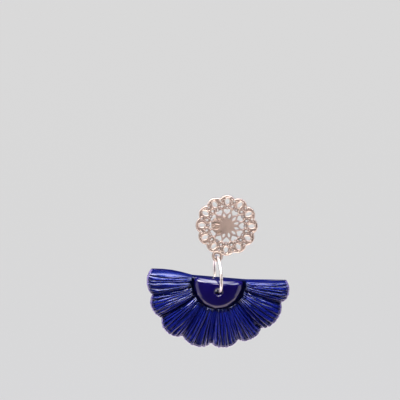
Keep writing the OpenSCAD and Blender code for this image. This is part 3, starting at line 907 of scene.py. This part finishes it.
def makeHub(v):
    # rays from the hole to the half-round outline, with a rounded rim, top edge and mouth
    count, bevel = v["rays"], v["boreBevel"]
    middle = np.array([v["boreAside"], -v["boreDrop"]])
    centre = np.array([0, -v["hubSink"]])
    a = 2 * math.pi * np.arange(count) / count
    ray = np.stack([np.cos(a), np.sin(a)], 1)
    toTop = np.where(ray[:, 1] > 1e-6, v["boreDrop"] / np.maximum(ray[:, 1], 1e-6), 1e9)
    rel = middle - centre
    half = ray @ rel
    outR = v["hubR"] + v["rimSpread"]
    toRim = -half + np.sqrt(half ** 2 - rel @ rel + outR ** 2)
    far = (toTop ** -v["cornerPower"] + toRim ** -v["cornerPower"]) ** (-1 / v["cornerPower"])

    def heightAt(xz):
        # above the web: the dome, less the rounding near the outline and the mouth
        fromMid = np.linalg.norm(xz - centre, axis=1)
        h = domeHeight(v, np.minimum(fromMid, outR))
        h = h - edgeDrop(v, -xz[:, 1], v["topEdge"])
        rimR = v["rimWide"]
        side = np.clip(outR - fromMid, 0, rimR)
        h = h - (rimR - np.sqrt(rimR ** 2 - (rimR - side) ** 2)) * v["rimDrop"] / rimR
        mouth = np.clip(np.linalg.norm(xz - middle, axis=1) - boreR, 0, bevel)
        power = v["mouthPower"]
        h = h - bevel * (1 - (1 - (1 - mouth / bevel) ** power) ** (1 / power))
        return np.maximum(h, v["leastHeight"])

    start = boreR + bevel
    loops = [(np.full(count, boreR), np.zeros(count))]
    loops += [(np.full(count, boreR + bevel * (1 - math.cos(b))), None)
              for b in np.radians(np.linspace(0, 90, 7))]
    loops += [(start + (far - start) * math.sin(s * math.pi / 2) ** v["rowPower"], None)
              for s in np.linspace(0, 1, v["domeRows"])[1:]]
    loops += [(far, np.zeros(count)), (0.5 * (far + boreR), np.zeros(count))]
    verts = []
    for r, height in loops:
        xz = middle + ray * r[:, None]
        height = heightAt(xz) if height is None else height
        grown = np.clip((r - boreR - bevel) / v["growOver"], 0, 1)
        xz[:, 0] *= 1 - v["narrower"] * grown
        xz[:, 1] *= 1 + v["longer"] * grown * np.clip(-ray[:, 1], 0, 1)
        verts.extend(np.stack([xz[:, 0], -v["webT"] - height, xz[:, 1]], 1))
    last = len(verts) - count
    faces = loopFaces(len(loops), count)
    faces += [(last + i, last + (i + 1) % count, (i + 1) % count, i) for i in range(count)]
    piece = finishMesh(newMesh("hub_dome", toWorld(verts), faces), 50)
    piece.data.materials.append(hubMaterial)
    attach(piece, "drop")
    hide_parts("fan_hub")


makeFan(fan)
makeHub(hub)
print("stage: fan made")

studio = {
    "floorDrop": 400, "roomR": 1050, "floorColor": "#505050", "floorGlow": 0.68,
    # what the gloss mirrors, by height and by depth on a unit sphere
    "lowWorld": "#ffffff", "highWorld": "#4650b8", "highFrom": 0.06, "highFull": 0.1,
    "backFrom": -0.5, "backFull": 0.1, "worldGlow": 0.62,
    "distance": 200, "lens": 70, "pitch": 12,
    "pixelMm": 0.2572, "discPixel": (226.7, 225.9), "framePixels": 400,
}
# name, place, aim, size, watts, colour, spread and shape
lamps = [
    ("key softbox", (-190, -150, 230), (0, 0, -14), (200, 150), 0.26, "#fff8f0", 60),
    ("overhead softbox", (0, -70, 235), (0, 0, -14), (300, 170), 0.34, "#ffffff", 70),
    ("side softbox", (200, -130, 210), (0, 0, -14), (140, 120), 0.06, "#f4f6ff", 60),
    ("front softbox", (30, -420, 230), (0, 0, -14), (260, 160), 0.135, "#fff0e8", 40),
    ("low card", (0, 160, -330), (0, 160, 0), (1100, 560), 3.2, "#ffe6f0", 180, "ELLIPSE"),
    ("left card", (-300, -40, -140), (0, 0, -20), (300, 300), 0.32, "#fff0f4"),
    ("right card", (300, -40, -140), (0, 0, -20), (300, 300), 0.32, "#fff0f4"),
]


def makeFloor(v):
    # a floor that curves up all round into a dome, pale and even from every side; only the camera sees it,
    # because its reflection would fog the gloss
    low, r = -v["floorDrop"], v["roomR"]
    side = low + r / 3
    profile = [(r / 3, low)] + arc(2 * r / 3, side, r / 3, -90, 0, 12)[1:]
    profile += [(r * math.cos(a), side + r * math.sin(a)) for a in np.radians(np.linspace(0, 88, 16)[1:])]
    floor = lathe("floor", profile, 64, Matrix.Rotation(math.radians(90), 3, "X"))
    floor.data.flip_normals()
    material, tree, shader, _ = newMaterial("pale matt floor")
    feed(tree, shader, {"Base Color": linear(v["floorColor"]), "Roughness": 1.0, "Specular IOR Level": 0.0,
                        "Emission Strength": v["floorGlow"]})
    floor.data.materials.append(material)
    floor.visible_glossy = floor.visible_diffuse = floor.visible_shadow = False


def makeWorld(v):
    # behind the earring pale up to about its own level and blue above; black in front
    world = bpy.data.worlds.new("studio")
    world.use_nodes = True
    tree = world.node_tree
    way = addNode(tree, "ShaderNodeSeparateXYZ", [addNode(tree, "ShaderNodeTexCoord").outputs["Generated"]])
    high = addNode(tree, "ShaderNodeMapRange", {
        "Value": way.outputs["Z"], "From Min": v["highFrom"], "From Max": v["highFull"]})
    sky = addNode(tree, "ShaderNodeMix", {
        "Factor": high, "A": linear(v["lowWorld"]), "B": linear(v["highWorld"])}, data_type="RGBA")
    back = addNode(tree, "ShaderNodeMapRange", {
        "Value": way.outputs["Y"], "From Min": v["backFrom"], "From Max": v["backFull"],
        "To Max": v["worldGlow"]})
    feed(tree, tree.nodes["Background"], {"Color": sky, "Strength": back})
    scene.world = world


def makeLamp(name, place, aim, size, power, color, spread=180, shape="RECTANGLE"):
    lamp = bpy.data.lights.new(name, "AREA")
    lamp.spread = math.radians(spread)
    lamp.shape = shape
    lamp.size, lamp.size_y = size[0] * mm, size[1] * mm
    lamp.energy = power
    lamp.color = linear(color)[:3]
    obj = addObject(name, lamp)
    obj.visible_camera = False
    obj.location = Vector(place) * mm
    obj.rotation_mode = "QUATERNION"
    obj.rotation_quaternion = (Vector(aim) * mm - obj.location).to_track_quat("-Z", "Y")


def makeCamera(v):
    # the disc's middle lands on its pixel of the photo, with the photo's pitch
    camera = bpy.data.cameras.new("camera")
    camera.lens = v["lens"]
    camera.clip_start, camera.clip_end = 0.01, 5
    pitch = math.radians(v["pitch"])
    ahead, right = Vector((0, math.cos(pitch), -math.sin(pitch))), Vector((1, 0, 0))
    up = right.cross(ahead)
    middle = Vector((disc["offset"], -disc["padT"] - disc["thick"], 0))
    dx, dy = [(pixel - v["framePixels"] / 2) * v["pixelMm"] for pixel in v["discPixel"]]
    obj = addObject("camera", camera)
    obj.location = (middle - ahead * v["distance"] - right * dx + up * dy) * mm
    obj.rotation_mode = "QUATERNION"
    obj.rotation_quaternion = ahead.to_track_quat("-Z", "Y")
    scene.camera = obj


makeFloor(studio)
makeWorld(studio)
for row in lamps:
    makeLamp(*row)
makeCamera(studio)
scene.view_settings.view_transform = "Standard"
print("stage: studio made")
